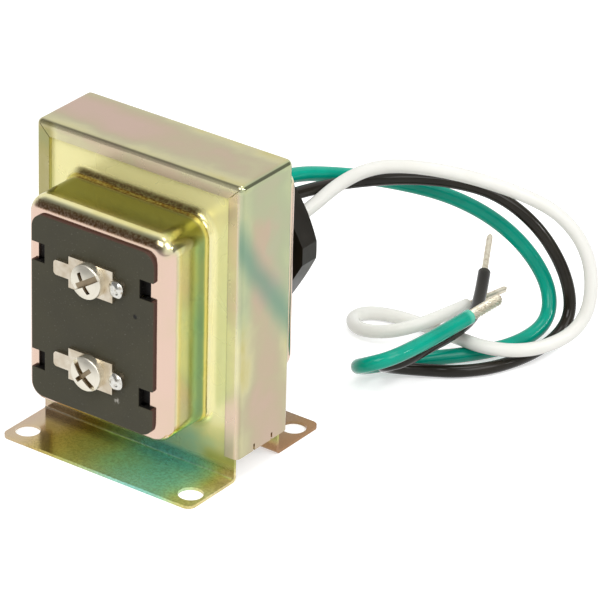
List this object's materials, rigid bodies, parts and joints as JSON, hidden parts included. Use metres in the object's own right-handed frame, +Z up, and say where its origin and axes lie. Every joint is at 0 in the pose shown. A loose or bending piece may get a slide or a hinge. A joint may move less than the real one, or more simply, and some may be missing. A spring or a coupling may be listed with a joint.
{
  "type": "doorbell transformer",
  "caption": "Small open-frame doorbell transformer with plated steel covers and feet, screw terminals on a black board, and coloured leads out of a threaded hub.",
  "frame": {"origin": "centre of the four foot holes, on the undersides of the feet", "axes": "+X to the right when facing the screw terminals, +Y rearward along the hub, +Z up away from the feet"},
  "size_m": [0.0755, 0.1188, 0.0646],
  "materials": {
    "passivated_steel": "yellow chromate, iridescent, semi-gloss",
    "core_steel": "bare sheared lamination edges",
    "natural_nylon": "satin",
    "enamelled_copper": "varnished",
    "coil_tape": "satin",
    "board_black": "fine matt grain",
    "tinned_brass": "warm tinned",
    "nickel_plate": "bright",
    "solder": "bright, lumpy",
    "hub_black": "semi-gloss moulded",
    "white_pvc": "glossy",
    "black_pvc": "glossy",
    "green_pvc": "glossy",
    "tinned_copper": "tinned"
  },
  "bodies": {
    "root": {"wrap_band": "passivated_steel", "front_bell": "passivated_steel", "rear_bell": "passivated_steel", "core_e_stack": "core_steel", "core_i_stack": "core_steel", "bobbin": "natural_nylon", "primary_winding": "enamelled_copper", "secondary_winding": "enamelled_copper", "primary_tape": "coil_tape", "secondary_tape": "coil_tape", "terminal_board": "board_black", "terminal_plate_upper": "tinned_brass", "terminal_plate_lower": "tinned_brass", "terminal_screw_upper": "nickel_plate", "terminal_screw_lower": "nickel_plate", "solder_joint_upper": "solder", "solder_joint_lower": "solder", "secondary_lead_upper": "enamelled_copper", "secondary_lead_lower": "enamelled_copper", "hub_nipple": "hub_black", "hub_locknut": "hub_black", "lead_white": "white_pvc", "lead_black": "black_pvc", "lead_green": "green_pvc", "conductor_white": "tinned_copper", "conductor_black": "tinned_copper", "conductor_green": "tinned_copper", "crimp_white": "tinned_copper", "crimp_black": "tinned_copper", "sleeve_white": "coil_tape", "sleeve_black": "coil_tape", "leadout_white": "enamelled_copper", "leadout_black": "enamelled_copper", "ground_tab": "passivated_steel"}
  },
  "joints": []
}
